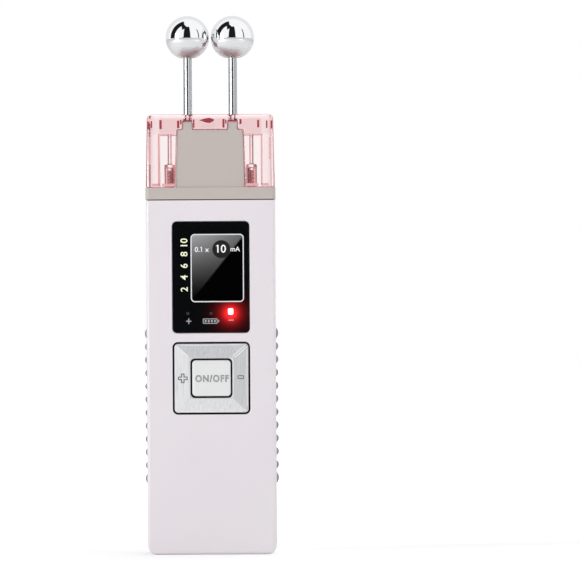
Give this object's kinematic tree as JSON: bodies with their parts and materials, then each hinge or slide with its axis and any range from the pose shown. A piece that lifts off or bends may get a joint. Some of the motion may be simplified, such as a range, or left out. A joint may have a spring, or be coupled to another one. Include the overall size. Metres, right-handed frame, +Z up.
{
  "type": "facial toning device",
  "caption": "Hand-held facial toning device: upright handle with display, square rocker key and power button, and a plug-in clear head with ball electrodes on stems.",
  "frame": {"origin": "centre of the handle's bottom face, which the device stands on", "axes": "+Z up the handle towards the balls, -Y out of the front with the display and keys, +X to the right seen from the front"},
  "size_m": [0.0454, 0.0286, 0.1837],
  "materials": {
    "shell_abs": "gloss",
    "screw_steel": "satin",
    "grip_rubber": "matte",
    "window_black": "gloss",
    "lcd_glass": "gloss",
    "holder_white": "matte",
    "pipe_clear": "gloss",
    "led_off": "gloss",
    "led_red": "gloss",
    "moulded_black": "satin",
    "silicone": "matte",
    "key_silver": "satin",
    "board_green": "satin",
    "coil_ferrite": "matte",
    "capacitor_can": "satin",
    "cell_wrap": "satin",
    "lead_sleeve": "satin",
    "foam": "matte",
    "gasket_rubber": "matte",
    "contact_brass": "satin",
    "head_abs": "satin",
    "cover_acrylic": "gloss",
    "electrode_chrome": "mirror"
  },
  "bodies": {
    "handle": {"front_shell": "shell_abs", "rear_shell": "shell_abs", "shell_screws": "screw_steel", "grip_left": "grip_rubber", "grip_right": "grip_rubber", "display_window": "window_black", "lcd_module": "lcd_glass", "lcd_holder": "holder_white", "light_pipes": "pipe_clear", "led_plus": "led_off", "led_charge": "led_off", "led_minus": "led_red", "key_frame": "moulded_black", "key_pivot_pins": "screw_steel", "rocker_pads": "silicone", "power_pad": "silicone", "switch_power": "moulded_black", "switch_plus": "moulded_black", "switch_minus": "moulded_black", "main_board": "board_green", "board_screws": "screw_steel", "controller_chip": "moulded_black", "step_up_coil": "coil_ferrite", "capacitors": "capacitor_can", "buzzer": "moulded_black", "battery_cell": "cell_wrap", "battery_tabs": "screw_steel", "battery_leads": "lead_sleeve", "battery_pad": "foam", "battery_connector": "holder_white", "charge_socket": "moulded_black", "head_socket": "moulded_black", "socket_sleeves": "contact_brass", "socket_leads": "lead_sleeve", "parting_gasket": "gasket_rubber"},
    "rocker_key": {"key_ring": "key_silver"},
    "power_key": {"power_button": "key_silver", "power_plunger": "moulded_black"},
    "head": {"head_base": "head_abs", "head_cover": "cover_acrylic", "head_screws": "screw_steel", "plug_pins": "contact_brass", "head_board": "board_green", "glow_strip_left": "board_green", "glow_strip_right": "board_green", "glow_leds": "led_red", "stem_left": "electrode_chrome", "stem_right": "electrode_chrome", "stem_nuts": "contact_brass", "contact_tags": "contact_brass", "electrode_leads": "lead_sleeve", "stem_clips": "screw_steel"},
    "left_ball": {"ball_left": "electrode_chrome", "bush_left": "contact_brass"},
    "right_ball": {"ball_right": "electrode_chrome", "bush_right": "contact_brass"}
  },
  "joints": [
    {"name": "power_press", "type": "slide", "parent": "handle", "child": "power_key", "axis": [0, 1, 0], "range_m": [0, 0.0005], "stiffness_N_per_m": 400, "deforming": ["power_pad"]},
    {"name": "key_rock", "type": "hinge", "parent": "handle", "child": "rocker_key", "pos_m": [0, -0.0111, 0.05995], "axis": [0, 0, 1], "range_deg": [-2.5, 2.5], "stiffness_Nm_per_rad": 0.05, "deforming": ["rocker_pads"]},
    {"name": "head_lift", "type": "slide", "parent": "handle", "child": "head", "axis": [0, 0, 1], "range_m": [0, 0.016]},
    {"name": "left_ball_spin", "type": "hinge", "parent": "head", "child": "left_ball", "pos_m": [-0.0077, 0, 0.1762], "axis": [0, 0, 1], "continuous": true},
    {"name": "right_ball_spin", "type": "hinge", "parent": "head", "child": "right_ball", "pos_m": [0.0077, 0, 0.1762], "axis": [0, 0, 1], "continuous": true}
  ]
}
